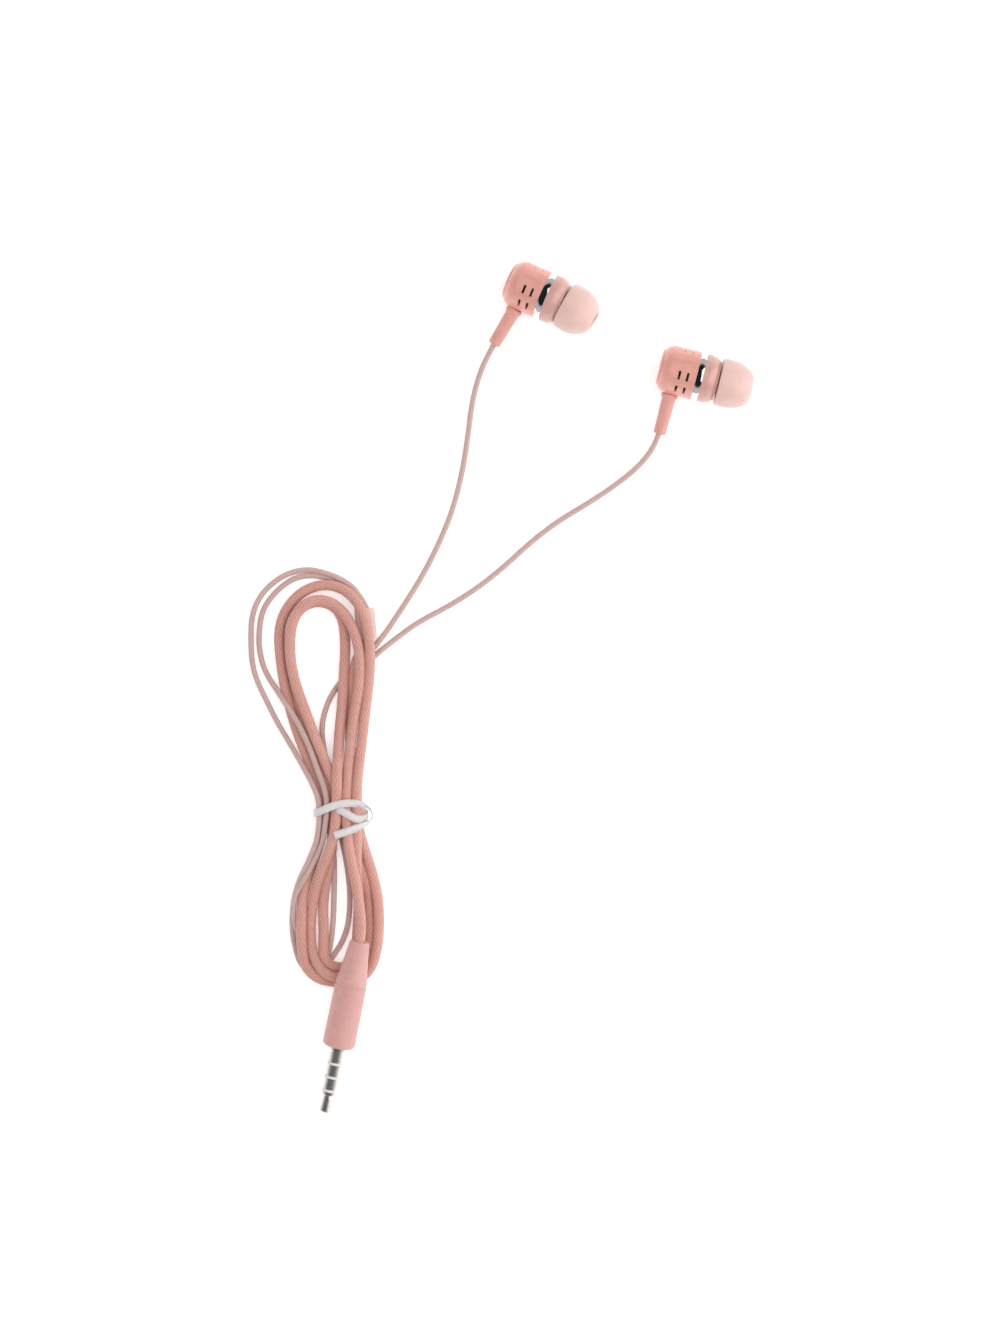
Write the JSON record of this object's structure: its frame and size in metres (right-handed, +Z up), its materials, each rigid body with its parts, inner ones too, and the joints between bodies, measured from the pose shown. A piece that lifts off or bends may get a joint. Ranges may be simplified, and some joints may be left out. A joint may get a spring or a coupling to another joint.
{
  "type": "wired earphones",
  "caption": "Wired in-ear earphones with soft ear tips on nozzles, thin leads, a splitter, and a braided cord folded in a tied hank that ends in an audio plug.",
  "frame": {"origin": "on the floor, under the centre of the box that holds the two earbuds", "axes": "+Z up from the surface the set lies on, +X along the row of the two earbuds, +Y away from the hank"},
  "size_m": [0.115, 0.1928, 0.0124],
  "materials": {
    "shell": "satin pearl pink plastic",
    "trim": "mirror plated",
    "silicone": "soft translucent silicone",
    "mesh": "fine woven mesh",
    "driver_plastic": "moulded",
    "driver_steel": "plated steel",
    "coil": "enamelled copper wire",
    "film": "clear film",
    "paper": "porous paper",
    "board": "printed circuit board",
    "boot": "soft satin",
    "lead_braid": "fine braid",
    "cord_braid": "textile braid",
    "handle": "matte",
    "contact": "nickel plated",
    "insulator": "pale",
    "splitter": "satin",
    "tie": "translucent white"
  },
  "bodies": {
    "root": {"boot_left": "boot", "boot_right": "boot", "cord_hank": "cord_braid", "damping_paper_left": "paper", "damping_paper_right": "paper", "driver_diaphragm_left": "film", "driver_diaphragm_right": "film", "driver_frame_left": "driver_plastic", "driver_frame_right": "driver_plastic", "driver_magnet_left": "driver_steel", "driver_magnet_right": "driver_steel", "driver_protector_left": "driver_steel", "driver_protector_right": "driver_steel", "driver_top_plate_left": "driver_steel", "driver_top_plate_right": "driver_steel", "driver_yoke_left": "driver_steel", "driver_yoke_right": "driver_steel", "front_cover_left": "shell", "front_cover_right": "shell", "housing_left": "shell", "housing_right": "shell", "lead_knot_left": "lead_braid", "lead_knot_right": "lead_braid", "lead_left": "lead_braid", "lead_right": "lead_braid", "main_cord": "cord_braid", "nozzle_mesh_left": "mesh", "nozzle_mesh_right": "mesh", "plug_handle": "handle", "plug_inner_mould": "driver_plastic", "plug_insulators": "insulator", "plug_relief": "handle", "plug_ring_1": "contact", "plug_ring_2": "contact", "plug_sleeve": "contact", "plug_tip": "contact", "rear_cap_left": "shell", "rear_cap_right": "shell", "signal_wires_left": "coil", "signal_wires_right": "coil", "splitter_body": "splitter", "splitter_core": "driver_plastic", "terminal_board_left": "board", "terminal_board_right": "board", "tie_wire": "driver_steel", "trim_ring_left": "trim", "trim_ring_right": "trim", "twist_tie": "tie", "voice_coil_left": "coil", "voice_coil_right": "coil"},
    "tip_left": {"ear_tip_left": "silicone"},
    "tip_right": {"ear_tip_right": "silicone"}
  },
  "joints": [
    {"name": "ear_tip_left_pull", "type": "slide", "parent": "root", "child": "tip_left", "axis": [0.905, -0.4124, 0.1045], "range_m": [0, 0.006]},
    {"name": "ear_tip_right_pull", "type": "slide", "parent": "root", "child": "tip_right", "axis": [0.969, -0.247, 0], "range_m": [0, 0.006]}
  ]
}
